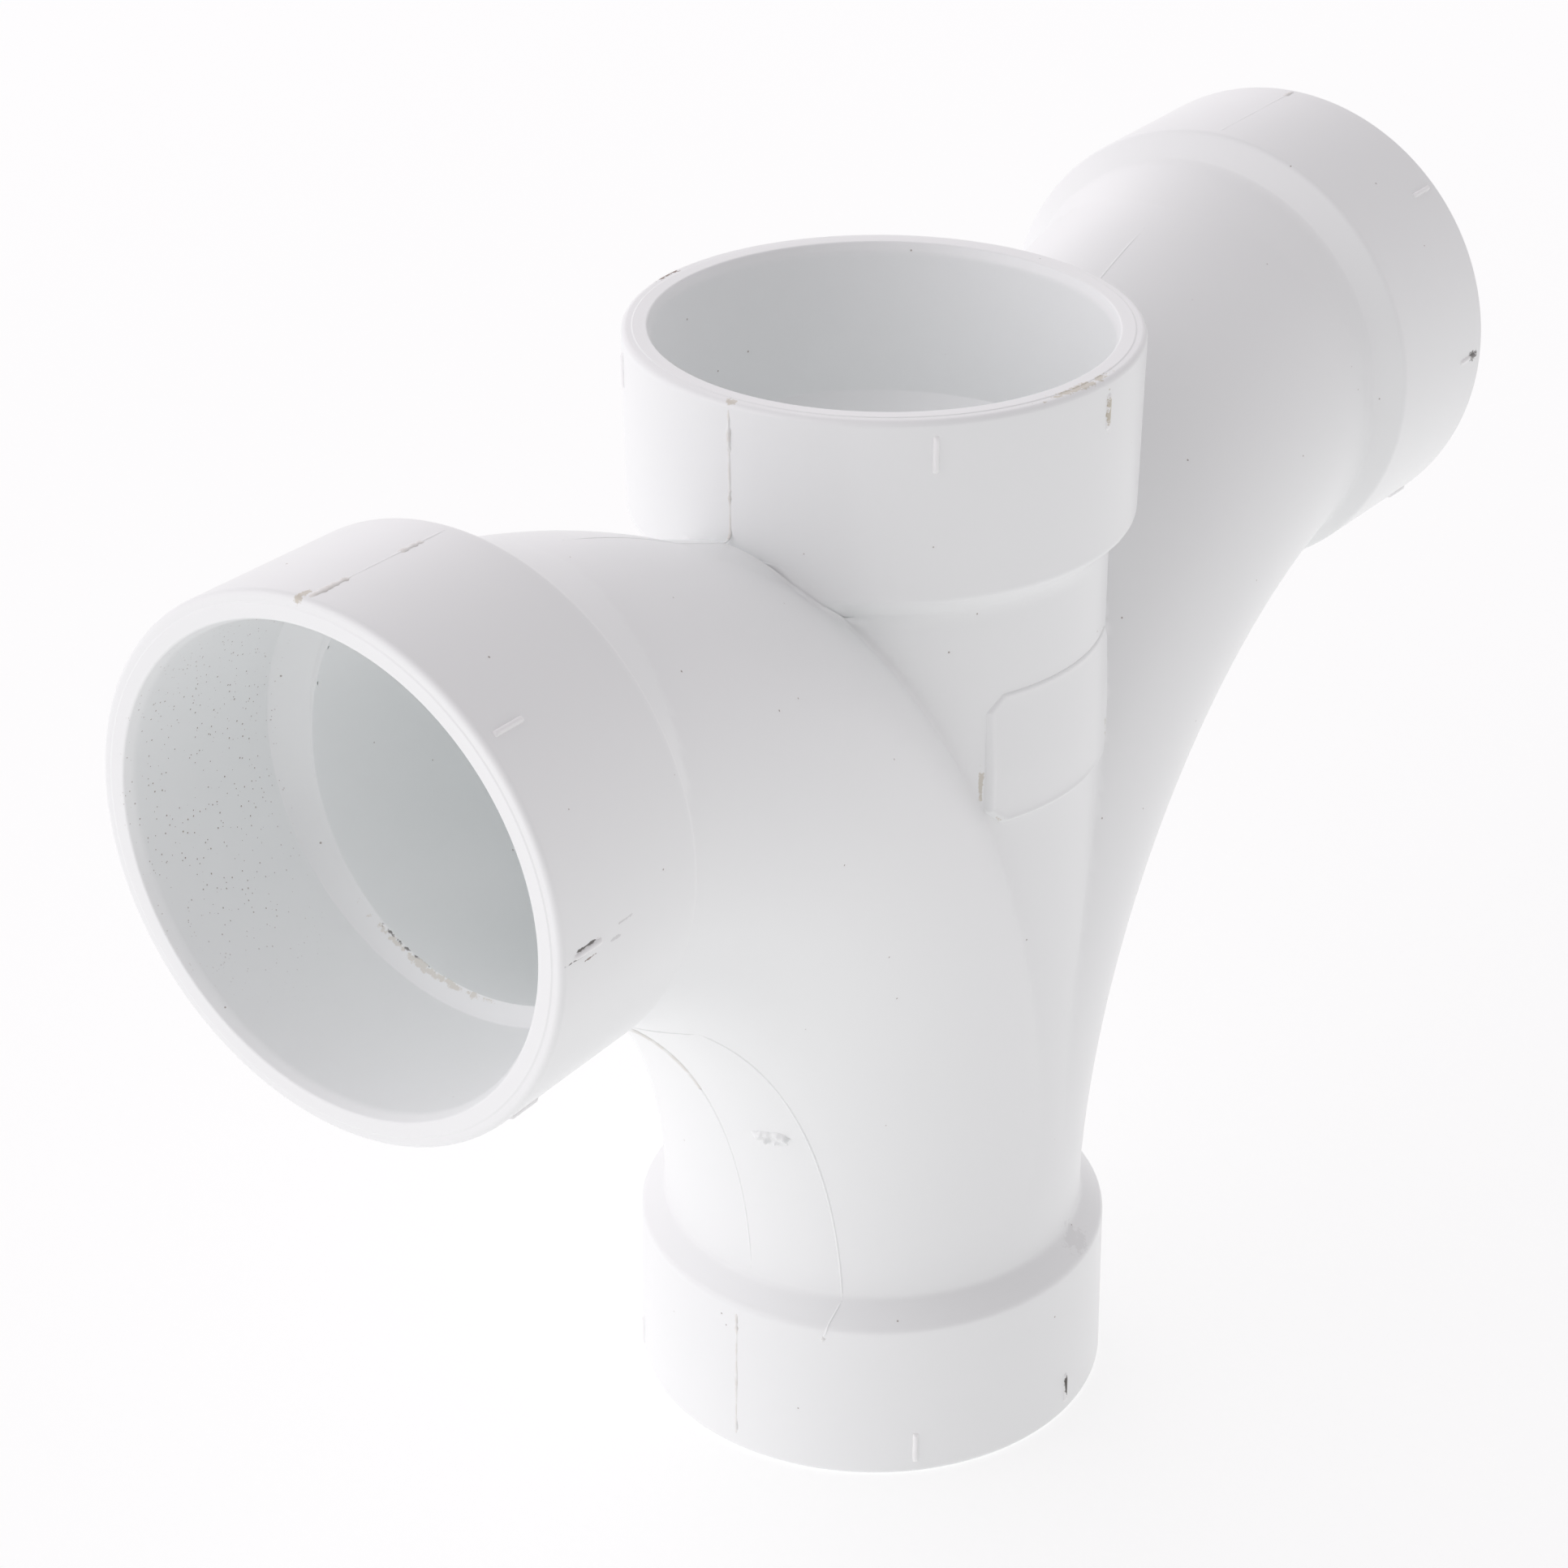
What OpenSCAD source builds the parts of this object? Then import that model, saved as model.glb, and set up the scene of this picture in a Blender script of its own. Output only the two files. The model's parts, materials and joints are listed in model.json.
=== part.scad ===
// Double sanitary tee for 3 inch drain, waste and vent pipe, in solvent-weld PVC.
// Four pipe sockets: one up, one down, and two opposed side inlets whose bores
// sweep down into the vertical run. +Z is up, the side inlets lie along X, and
// the origin is the centre of the bottom mouth.

/* [Overall] */
// Height from the bottom mouth to the top mouth
overall_h = 238; // [232:1:244]
// Height of the side inlets' axis above the bottom mouth
inlet_h = 191.5; // [189:0.5:193]
// Distance from the run's axis to a side inlet's mouth
inlet_reach = 164.5; // [162:0.5:168]

/* [Pipe sockets] */
// Radius of the socket that takes the pipe
socket_r = 44.55; // [44.45:0.05:44.7]
// Depth from the mouth to the pipe stop
socket_depth = 38.1; // [37:0.1:39]
// Outer radius of the hub at its mouth
hub_r = 50.5; // [50:0.1:51.5]
// Outer radius of the hub where its shoulder starts
hub_back_r = 50; // [49.5:0.1:50.5]
// Distance from the mouth to the start of the shoulder
shoulder_start = 36.5; // [36:0.1:37]
// Distance from the mouth to the end of the shoulder
shoulder_end = 41.5; // [41:0.1:42.5]
// Radius of the rounded outer edge of the rim
rim_round = 1.2; // [0.8:0.1:1.6]
// Depth of the tapered lead-in at the mouth
lead_depth = 2.8; // [2:0.1:3.4]
// Width of the tapered lead-in at the mouth
lead_width = 1.3; // [0.8:0.1:1.8]
// Radius of the fillet between the socket wall and the pipe stop
stop_fillet = 1.5; // [1:0.1:2]

/* [Body] */
// Outer radius of the vertical barrel
barrel_r = 44.9; // [44.8:0.05:45.2]
// Radius of the vertical waterway
run_bore_r = 39.3; // [39.2:0.05:39.6]
// Outer radius of a sweep's tube
sweep_tube_r = 44.6; // [44.4:0.05:44.7]
// Radius of a sweep's waterway
sweep_bore_r = 39; // [38.6:0.1:39.1]
// Bend radius of a sweep's outer wall, at its centre line
sweep_r = 154; // [153:0.5:155]
// Bend radius of a sweep's waterway, at its centre line
bore_sweep_r = 151; // [150:0.5:152]
// Length of the taper that blends a sweep's shoulder into its tube
toe_length = 10; // [8:1:12]
// Drop of that taper over its length
toe_drop = 3.6; // [3:0.1:4.5]

/* [Marks] */
// Length of a raised alignment tick
tick_length = 7.5; // [6:0.5:9]
// Width of a raised alignment tick
tick_width = 1.3; // [1:0.1:2]
// Height of a raised alignment tick above the hub
tick_height = 0.5; // [0.3:0.1:0.8]
// Distance from the mouth to the start of a tick
tick_start = 3; // [2:0.5:4]
// Height of the raised parting line above the surface
parting_height = 0.3; // [0.2:0.1:0.5]
// Width of the raised parting line
parting_width = 0.8; // [0.5:0.1:1.2]
// Width of the raised size pad across the barrel
pad_width = 43.6; // [40:0.2:46]
// Height of the raised size pad
pad_height = 27.8; // [25:0.2:30]
// Height of the size pad's centre above the bottom mouth
pad_z = 163.7; // [160:0.1:167]
// Thickness of the size pad above the barrel
pad_thick = 1.1; // [0.8:0.1:1.5]
// Length of the pad's cut corners
pad_corner = 3.2; // [2:0.1:5]
// Radius of the trimmed injection gate
gate_r = 4.2; // [3:0.1:5]
// Height of the trimmed injection gate above the sweep
gate_height = 0.7; // [0.5:0.1:1.2]

/* [Hidden] */
$fn = 96;
// Overlap that keeps a cut clear of the face it passes through
cut = 1;
// How far a bar or pad is sunk below the surface it stands on, before trimming
sink = 2;
pvc_white = [0.93, 0.94, 0.94];
// Outer radius of the shoulder cone at the plane of the pipe stop
stop_outer_r = hub_back_r
    - (hub_back_r - sweep_tube_r) * (socket_depth - shoulder_start) / (shoulder_end - shoulder_start);
run_length = overall_h - 2 * shoulder_end;
// Angle about the vertical axis between neighbouring ticks
tick_pitch = 45;
// Ticks stand at these steps of the pitch, clear of the mould's parting line
tick_steps = [1, 2, 3, 5, 6, 7];
// The parting line crosses each hub at these steps of the pitch
parting_steps = [0, 4];
// Place of the gate on the left sweep: its bend angle and its side angle
gate_bend = 25;
gate_side = 15;

// ---- Frames: each hub is drawn with its mouth at z = 0 and its wall going up ----

module at_bottom() {
    children();
}

module at_top() {
    translate([0, 0, overall_h]) mirror([0, 0, 1]) children();
}

module at_right() {
    translate([inlet_reach, 0, inlet_h]) rotate([0, -90, 0]) children();
}

module at_left() {
    mirror([1, 0, 0]) at_right() children();
}

// ---- Shared solids ----

// Half section of a socket: rounded rim, lead-in taper, wall and fillet to the stop
module socket_section() {
    difference() {
        union() {
            polygon([
                [socket_r + lead_width, 0],
                [hub_r - rim_round, 0],
                [hub_r - rim_round, rim_round],
                [hub_r, rim_round],
                [hub_back_r, shoulder_start],
                [stop_outer_r, socket_depth],
                [socket_r - stop_fillet, socket_depth],
                [socket_r - stop_fillet, socket_depth - stop_fillet],
                [socket_r, socket_depth - stop_fillet],
                [socket_r, lead_depth]
            ]);
            translate([hub_r - rim_round, rim_round]) circle(r = rim_round);
        }
        translate([socket_r - stop_fillet, socket_depth - stop_fillet]) circle(r = stop_fillet);
    }
}

module socket() {
    rotate_extrude() socket_section();
}

// Solid cone of a hub's shoulder, behind the pipe stop
module shoulder_cone() {
    translate([0, 0, socket_depth])
        cylinder(h = shoulder_end - socket_depth, r1 = stop_outer_r, r2 = sweep_tube_r);
}

// Sector of a torus in the XZ plane, from straight up round to the run's axis
module swept_bar(bend_r, tube_r) {
    translate([bend_r, 0, inlet_h - bend_r])
        rotate([90, 0, 0])
            rotate([0, 0, 90])
                rotate_extrude(angle = 90)
                    translate([bend_r, 0]) circle(r = tube_r);
}

// Everything inside the outer surface of a hub and its shoulder
module hub_core() {
    cylinder(h = shoulder_start, r1 = hub_r, r2 = hub_back_r);
    translate([0, 0, shoulder_start])
        cylinder(h = shoulder_end - shoulder_start, r1 = hub_back_r, r2 = sweep_tube_r);
}

// Block that holds everything between two distances from a side inlet's mouth
module depth_slab(from, to) {
    translate([inlet_reach - to, -hub_r * 2, 0]) cube([to - from, hub_r * 4, overall_h * 2]);
}

module run_core(r) {
    translate([0, 0, -cut]) cylinder(h = overall_h + 2 * cut, r = r);
}

module sweep_bore() {
    swept_bar(bore_sweep_r, sweep_bore_r);
}

// ---- Right-hand side inlet; the left one is its mirror image ----

module side_stop_ring() {
    difference() {
        union() {
            at_right() shoulder_cone();
            intersection() {
                swept_bar(sweep_r, sweep_tube_r);
                depth_slab(socket_depth, shoulder_end);
            }
        }
        sweep_bore();
    }
}

module side_sweep() {
    difference() {
        union() {
            intersection() {
                swept_bar(sweep_r, sweep_tube_r);
                depth_slab(shoulder_end, inlet_reach + cut);
            }
            at_right() translate([0, 0, shoulder_end])
                cylinder(h = toe_length, r1 = sweep_tube_r, r2 = sweep_tube_r - toe_drop);
        }
        run_core(barrel_r);
        at_top() hub_core();
        sweep_bore();
    }
}

// ---- Raised marks ----

// Bars along the hub's wall, trimmed to stand the same height from end to end
module hub_bars(steps, from, length, width, height) {
    for (step = steps) {
        rotate([0, 0, step * tick_pitch]) intersection() {
            translate([hub_back_r - sink, -width / 2, from])
                cube([2 * sink, width, length]);
            difference() {
                cylinder(h = shoulder_start, r1 = hub_r + height, r2 = hub_back_r + height);
                cylinder(h = shoulder_start, r1 = hub_r, r2 = hub_back_r);
            }
        }
    }
}

module ticks() {
    hub_bars(tick_steps, tick_start, tick_length, tick_width, tick_height);
}

module parting_line() {
    hub_bars(parting_steps, rim_round, shoulder_start - rim_round, parting_width, parting_height);
}

// Parting line along the inside and the outside of a sweep's bend
module sweep_seam() {
    difference() {
        intersection() {
            swept_bar(sweep_r, sweep_tube_r + parting_height);
            depth_slab(shoulder_end + toe_length, inlet_reach);
            translate([0, -parting_width / 2, 0]) cube([inlet_reach, parting_width, overall_h * 2]);
        }
        swept_bar(sweep_r, sweep_tube_r);
        run_core(barrel_r);
        at_top() hub_core();
    }
}

// ---- Sub-parts ----

module top_socket() {
    color(pvc_white) at_top() socket();
}

module bottom_socket() {
    color(pvc_white) at_bottom() socket();
}

module left_socket() {
    color(pvc_white) at_left() socket();
}

module right_socket() {
    color(pvc_white) at_right() socket();
}

module top_stop_ring() {
    color(pvc_white) difference() {
        at_top() shoulder_cone();
        run_core(run_bore_r);
    }
}

module bottom_stop_ring() {
    color(pvc_white) difference() {
        at_bottom() shoulder_cone();
        run_core(run_bore_r);
    }
}

module left_stop_ring() {
    color(pvc_white) mirror([1, 0, 0]) side_stop_ring();
}

module right_stop_ring() {
    color(pvc_white) side_stop_ring();
}

module barrel() {
    color(pvc_white) difference() {
        translate([0, 0, shoulder_end]) cylinder(h = run_length, r = barrel_r);
        run_core(run_bore_r);
        sweep_bore();
        mirror([1, 0, 0]) sweep_bore();
    }
}

module left_sweep() {
    color(pvc_white) mirror([1, 0, 0]) side_sweep();
}

module right_sweep() {
    color(pvc_white) side_sweep();
}

module top_ticks() {
    color(pvc_white) at_top() ticks();
}

module bottom_ticks() {
    color(pvc_white) at_bottom() ticks();
}

module left_ticks() {
    color(pvc_white) at_left() ticks();
}

module right_ticks() {
    color(pvc_white) at_right() ticks();
}

module top_parting_line() {
    color(pvc_white) at_top() parting_line();
}

module bottom_parting_line() {
    color(pvc_white) at_bottom() parting_line();
}

module left_parting_line() {
    color(pvc_white) at_left() parting_line();
}

module right_parting_line() {
    color(pvc_white) at_right() parting_line();
}

module left_sweep_seam() {
    color(pvc_white) mirror([1, 0, 0]) sweep_seam();
}

module right_sweep_seam() {
    color(pvc_white) sweep_seam();
}

// Eight-sided pad that follows the barrel's curve on the front
module size_pad() {
    half_w = pad_width / 2;
    half_h = pad_height / 2;
    color(pvc_white) difference() {
        intersection() {
            translate([0, 0, pad_z]) rotate([90, 0, 0]) linear_extrude(height = hub_r)
                polygon([
                    [-half_w, pad_corner - half_h],
                    [pad_corner - half_w, -half_h],
                    [half_w - pad_corner, -half_h],
                    [half_w, pad_corner - half_h],
                    [half_w, half_h - pad_corner],
                    [half_w - pad_corner, half_h],
                    [pad_corner - half_w, half_h],
                    [-half_w, half_h - pad_corner]
                ]);
            run_core(barrel_r + pad_thick);
        }
        run_core(barrel_r);
        side_sweep();
        mirror([1, 0, 0]) side_sweep();
    }
}

// Trimmed gate on the underside of the left sweep
module gate_stub() {
    color(pvc_white) mirror([1, 0, 0]) intersection() {
        translate([sweep_r, 0, inlet_h - sweep_r])
            rotate([0, gate_bend, 0])
                translate([-sweep_r, 0, 0])
                    rotate([0, 0, -gate_side])
                        rotate([0, 90, 0]) cylinder(h = hub_r, r = gate_r);
        difference() {
            swept_bar(sweep_r, sweep_tube_r + gate_height);
            swept_bar(sweep_r, sweep_tube_r);
        }
    }
}

top_socket();
bottom_socket();
left_socket();
right_socket();
top_stop_ring();
bottom_stop_ring();
left_stop_ring();
right_stop_ring();
barrel();
left_sweep();
right_sweep();
top_ticks();
bottom_ticks();
left_ticks();
right_ticks();
top_parting_line();
bottom_parting_line();
left_parting_line();
right_parting_line();
left_sweep_seam();
right_sweep_seam();
size_pad();
gate_stub();
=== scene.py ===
"""Looks of a moulded PVC double sanitary tee: its surfaces, mould marks, plastic, light and camera.

Shapes are worked out in millimetres in the CAD frame and turned into metres where a mesh is made.
"""

import json
import math

import bpy
import numpy as np
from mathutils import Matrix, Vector


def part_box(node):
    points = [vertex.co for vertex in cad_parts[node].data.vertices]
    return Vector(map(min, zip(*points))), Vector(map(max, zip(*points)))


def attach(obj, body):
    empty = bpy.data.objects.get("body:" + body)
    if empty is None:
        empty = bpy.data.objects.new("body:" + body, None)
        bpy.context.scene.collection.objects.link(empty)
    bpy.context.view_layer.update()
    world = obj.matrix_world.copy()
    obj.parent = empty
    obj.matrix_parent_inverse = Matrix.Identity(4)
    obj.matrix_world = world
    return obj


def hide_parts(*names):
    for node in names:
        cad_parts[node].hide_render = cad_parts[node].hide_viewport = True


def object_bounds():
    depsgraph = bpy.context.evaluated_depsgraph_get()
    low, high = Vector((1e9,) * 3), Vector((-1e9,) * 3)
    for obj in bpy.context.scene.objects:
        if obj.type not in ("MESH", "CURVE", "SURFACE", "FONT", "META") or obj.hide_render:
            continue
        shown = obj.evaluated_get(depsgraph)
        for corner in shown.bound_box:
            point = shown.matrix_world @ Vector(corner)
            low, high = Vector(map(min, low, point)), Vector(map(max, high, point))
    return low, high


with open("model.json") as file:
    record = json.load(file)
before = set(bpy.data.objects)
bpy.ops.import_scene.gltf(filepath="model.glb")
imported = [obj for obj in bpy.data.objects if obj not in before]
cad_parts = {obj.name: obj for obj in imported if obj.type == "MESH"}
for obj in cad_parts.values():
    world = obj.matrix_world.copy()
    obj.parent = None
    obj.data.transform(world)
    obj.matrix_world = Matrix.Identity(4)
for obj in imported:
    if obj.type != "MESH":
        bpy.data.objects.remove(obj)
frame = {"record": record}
cad_low, cad_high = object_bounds()

MM = 0.001


def box_mm(node):
    low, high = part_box(node)
    return np.array(low) / MM, np.array(high) / MM


# ---- Dimensions: from the CAD where a node's box holds them, all in millimetres ----

top_low, top_high = box_mm("top_socket")
right_low, right_high = box_mm("right_socket")
barrel_low, barrel_high = box_mm("barrel")
pad_low, pad_high = box_mm("size_pad")
gate_low, gate_high = box_mm("gate_stub")
tick_low, tick_high = box_mm("bottom_ticks")

OVERALL_H = top_high[2]
HUB_R = top_high[0]
REACH = right_high[0]
INLET_H = (right_low[2] + right_high[2]) / 2
STOP_DEPTH = right_high[0] - right_low[0]
BARREL_R = barrel_high[1]
SHOULDER_END = barrel_low[2]
TUBE_R = box_mm("right_sweep")[1][1]
SOCKET_R = frame["record"]["mounts"][0]["dims"]["r_mm"]
TICK_START = tick_low[2]
TICK_END = tick_high[2]

HUB_BACK_R = 50.0
SHOULDER_START = 36.5
RUN_BORE_R = 39.3
SWEEP_R = 154.0
SWEEP_Z = INLET_H - SWEEP_R
BORE_SWEEP_R = 151.0
BORE_SWEEP_Z = INLET_H - BORE_SWEEP_R
SWEEP_BORE_R = 39.0
TOE_SLOPE = 0.36
RIM_ROUND = 1.2
LEAD_DEPTH = 2.0
LEAD_WIDTH = 0.9

# The rim's face steps down by a hair outside this radius
RIM_LINE_R = 48.3
RIM_LINE_DROP = 0.12

# Radii of the moulding's blends, and of the edge where the pipe stop meets the waterway
CREASE_R = 1.8
SHOULDER_FILLET_R = 2.2
SHOULDER_ROUND_R = 1.9
CROTCH_ROUND_R = 1.5
TOE_ROUND_R = 0.5
EDGE_R = 0.4

# The pipe stop is a cone from the socket's wall in to the waterway. The top socket's starts higher up
STOP_START = {"top": 32.0, "bottom": 35.2, "left": 35.2, "right": 35.2}
STOP_END = 40.65

# Mesh fineness
AROUND = 288
CELL = 1.6
SURFACE_STEP = 2.5
BACK_START = 30.0
BACK_STEP = 0.4

TOP_PLANE = OVERALL_H - SHOULDER_END
SIDE_PLANE = REACH - SHOULDER_END


# ---- The moulding's shape as distance fields: each gives distances and unit gradients ----

def blend(a, b, radius):
    """Union of two fields with a fillet of one radius, however steeply they meet."""
    (da, ga), (db, gb) = a, b
    k = np.maximum(radius * (1 - (ga * gb).sum(1)), 1e-6)
    share = np.clip(0.5 + 0.5 * (db - da) / k, 0, 1)
    distance = db + (da - db) * share - k * share * (1 - share)
    gradient = gb + (ga - gb) * share[:, None]
    return distance, gradient / np.linalg.norm(gradient, axis=1)[:, None]


def flip(a):
    return -a[0], -a[1]


def carve(a, b, radius):
    """Intersection of two fields with a rounded edge."""
    return flip(blend(flip(a), flip(b), radius))


def run_field(p, radius):
    r = np.maximum(np.hypot(p[:, 0], p[:, 1]), 1e-9)
    return r - radius, np.stack([p[:, 0] / r, p[:, 1] / r, np.zeros_like(r)], 1)


def bend_field(p, side, bend_r, bend_z, tube_r):
    """A torus about a bend's centre, which lies on that side of the run at height bend_z."""
    u = side * p[:, 0] - bend_r
    v = p[:, 2] - bend_z
    ring = np.maximum(np.hypot(u, v), 1e-9)
    q = ring - bend_r
    d = np.maximum(np.hypot(q, p[:, 1]), 1e-9)
    gradient = np.stack([side * u / ring * q / d, p[:, 1] / d, v / ring * q / d], 1)
    return d - tube_r, gradient


def wall_radius(depth):
    """Radius of a hub's outer wall, which has a slight draft."""
    return HUB_R - (HUB_R - HUB_BACK_R) * depth / SHOULDER_START


class Hub:
    """One socket: where its mouth is, which way is in, and its directions at angle 0 and 90."""

    def __init__(self, name, mouth, inward, zero, quarter):
        self.name = name
        self.mouth = np.array(mouth, float)
        self.inward = np.array(inward, float)
        self.zero = np.array(zero, float)
        self.quarter = np.array(quarter, float)

    def point(self, angle, radius, depth):
        angle, radius, depth = np.broadcast_arrays(angle, radius, depth)
        return self.mouth + depth[..., None] * self.inward + radius[..., None] * self.outward(angle)

    def outward(self, angle):
        """The direction away from the hub's axis at an angle."""
        angle = np.asarray(angle)
        return np.cos(angle)[..., None] * self.zero + np.sin(angle)[..., None] * self.quarter

    def measure(self, p):
        """Radius and depth of points, and the unit vector away from the axis."""
        q = p - self.mouth
        depth = q @ self.inward
        away = q - depth[:, None] * self.inward
        radius = np.maximum(np.linalg.norm(away, axis=1), 1e-9)
        return radius, depth, away / radius[:, None]

    def field(self, p):
        """The hub's wall and shoulder, with the edge between them rounded."""
        radius, depth, away = self.measure(p)
        wall_r = wall_radius(depth)
        normal = np.array([SHOULDER_END - SHOULDER_START, HUB_BACK_R - TUBE_R])
        normal = normal / np.linalg.norm(normal)
        cone = (radius - HUB_BACK_R) * normal[0] + (depth - SHOULDER_START) * normal[1]
        return carve(
            (radius - wall_r, away),
            (cone, away * normal[0] + self.inward * normal[1]),
            SHOULDER_ROUND_R,
        )

    def toe_field(self, p):
        """The taper that carries a side hub's shoulder on to its sweep."""
        radius, depth, away = self.measure(p)
        norm = math.hypot(1, TOE_SLOPE)
        cone = (radius - TUBE_R + TOE_SLOPE * (depth - SHOULDER_END)) / norm
        return carve(
            (cone, (away + TOE_SLOPE * self.inward) / norm),
            (SHOULDER_START - depth, np.broadcast_to(-self.inward, away.shape)),
            TOE_ROUND_R,
        )


X, Y, Z = np.eye(3)
HUBS = {
    "top": Hub("top", (0, 0, OVERALL_H), -Z, X, Y),
    "bottom": Hub("bottom", (0, 0, 0), Z, X, Y),
    "left": Hub("left", (-REACH, 0, INLET_H), X, Z, Y),
    "right": Hub("right", (REACH, 0, INLET_H), -X, Z, Y),
}


def sweep_field(p, side):
    return bend_field(p, side, SWEEP_R, SWEEP_Z, TUBE_R)


def outside_field(p):
    """Everything inside the moulding's outer surface."""
    body = run_field(p, BARREL_R)
    for side, name in ((-1, "left"), (1, "right")):
        arm = blend(sweep_field(p, side), HUBS[name].toe_field(p), CREASE_R)
        arm = blend(arm, HUBS[name].field(p), SHOULDER_FILLET_R)
        body = blend(body, arm, CREASE_R)
    for name in ("top", "bottom"):
        body = blend(body, HUBS[name].field(p), SHOULDER_FILLET_R)
    return body


def waterway_field(p):
    """The run's bore and the two swept bores that join it."""
    bore = run_field(p, RUN_BORE_R)
    for side in (-1, 1):
        bore = blend(bore, bend_field(p, side, BORE_SWEEP_R, BORE_SWEEP_Z, SWEEP_BORE_R), CROTCH_ROUND_R)
    return bore


def wall_field(p):
    """The plastic itself: negative inside the wall."""
    outer, inner = outside_field(p), flip(waterway_field(p))
    use_inner = inner[0] > outer[0]
    return np.maximum(outer[0], inner[0]), np.where(use_inner[:, None], inner[1], outer[1])


def on_surface(p, steps=12):
    """Points moved on to the moulding's outer surface, and its normals there."""
    p = np.array(p, float)
    for _ in range(steps):
        distance, gradient = outside_field(p)
        p -= distance[:, None] * gradient
    return p, outside_field(p)[1]


# ---- Regions of the body: which sub-part each bit of wall belongs to ----

VOID, BARREL, LEFT, RIGHT, ENDS = range(5)


def region_fields(p):
    """Distances to the barrel and to each sweep, and a field that is negative in the hubs' own space."""
    barrel = run_field(p, BARREL_R)[0]
    left = sweep_field(p, -1)[0]
    right = sweep_field(p, 1)[0]
    hub = np.minimum(HUBS["top"].field(p)[0], barrel)
    top = np.maximum(TOP_PLANE - p[:, 2], hub - np.maximum(np.minimum(left, right), 0))
    ends = np.minimum(np.minimum(p[:, 2] - SHOULDER_END, SIDE_PLANE - np.abs(p[:, 0])), top)
    return barrel, left, right, ends


def label_points(p):
    solid = wall_field(p)[0] < 0
    barrel, left, right, ends = region_fields(p)
    label = BARREL + np.argmin([barrel, left, right], axis=0)
    above = p[:, 2] > TOP_PLANE
    label = np.where(above, np.where(p[:, 0] < 0, LEFT, RIGHT), label)
    label = np.where(ends < 0, ENDS, label)
    return np.where(solid, label, VOID)


def interface(p, a, b):
    """The field that is zero where regions a and b meet, and its gradient."""

    def value(q):
        fields = dict(zip((BARREL, LEFT, RIGHT, ENDS), region_fields(q)))
        return fields[ENDS] if ENDS in (a, b) else fields[a] - fields[b]

    step = 0.01
    gradient = np.stack([(value(p + step * e) - value(p - step * e)) / (2 * step) for e in np.eye(3)], 1)
    return value(p), gradient


def move_to_zero(p, distance, gradient):
    slope = np.maximum((gradient ** 2).sum(1), 0.05)
    move = -(distance / slope)[:, None] * gradient
    length = np.linalg.norm(move, axis=1)[:, None]
    return p + move * np.minimum(1, CELL / np.maximum(length, 1e-9))


def net_body():
    """Surface nets through the body. Regions share their border vertices, so no seam can open.

    Returns the vertices, their normals, and for each region its quads and which of them can be seen.
    """
    low = np.array([-SIDE_PLANE - 2 * CELL, -HUB_R, SHOULDER_END - 2 * CELL])
    high = np.array([SIDE_PLANE + 2 * CELL, HUB_R, INLET_H + HUB_R])
    counts = np.ceil((high - low) / CELL).astype(int) + 1
    axes = [low[i] + CELL * np.arange(counts[i]) for i in range(3)]
    nodes = np.stack(np.meshgrid(*axes, indexing="ij"), -1)
    labels = label_points(nodes.reshape(-1, 3)).reshape(counts)

    corners = [(i, j, k) for i in (0, 1) for j in (0, 1) for k in (0, 1)]
    cells = counts - 1

    def corner(values, c):
        return values[c[0]:c[0] + cells[0], c[1]:c[1] + cells[1], c[2]:c[2] + cells[2]]

    stack = np.stack([corner(labels, c) for c in corners], -1)
    used = stack.min(-1) != stack.max(-1)
    index = np.full(cells, -1)
    index[used] = np.arange(used.sum())
    found = stack[used]

    # A first place for each vertex: the mean of the middles of the edges that change region
    place = np.zeros((len(found), 3))
    weight = np.zeros(len(found))
    for a in range(8):
        for b in range(a + 1, 8):
            if sum(abs(corners[a][i] - corners[b][i]) for i in range(3)) == 1:
                changes = found[:, a] != found[:, b]
                middle = (np.array(corners[a]) + np.array(corners[b])) / 2
                place += changes[:, None] * middle
                weight += changes
    base = np.stack([corner(nodes[..., i], (0, 0, 0))[used] for i in range(3)], 1)
    start = base + CELL * place / weight[:, None]

    present = {label: (found == label).any(1) for label in range(5)}
    pairs = [(a, b) for a in range(1, 5) for b in range(a + 1, 5) if (present[a] & present[b]).any()]
    p = start.copy()
    for _ in range(10):
        for a, b in pairs:
            both = present[a] & present[b]
            p[both] = move_to_zero(p[both], *interface(p[both], a, b))
        seen = present[VOID]
        p[seen] = move_to_zero(p[seen], *wall_field(p[seen]))
        p = start + np.clip(p - start, -CELL, CELL)
    normals = wall_field(p)[1]

    faces = {label: [] for label in (BARREL, LEFT, RIGHT)}
    visible = {label: [] for label in (BARREL, LEFT, RIGHT)}
    for axis in range(3):
        u, v = (axis + 1) % 3, (axis + 2) % 3
        near = np.take(labels, range(counts[axis] - 1), axis)
        far = np.take(labels, range(1, counts[axis]), axis)
        spots = np.argwhere(near != far)
        inside = np.all([(spots[:, d] > 0) & (spots[:, d] < counts[d] - 1) for d in (u, v)], 0)
        spots = spots[inside]
        quad = []
        for du, dv in ((-1, -1), (0, -1), (0, 0), (-1, 0)):
            cell = spots.copy()
            cell[:, u] += du
            cell[:, v] += dv
            quad.append(index[tuple(cell.T)])
        quad = np.stack(quad, 1)
        here, there = near[tuple(spots.T)], far[tuple(spots.T)]
        for label in faces:
            faces[label] += [quad[here == label], quad[there == label][:, ::-1]]
            visible[label] += [there[here == label] == VOID, here[there == label] == VOID]
    return (
        p,
        normals,
        {label: np.concatenate(f) for label, f in faces.items()},
        {label: np.concatenate(f) for label, f in visible.items()},
    )


# ---- Making meshes ----

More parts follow.
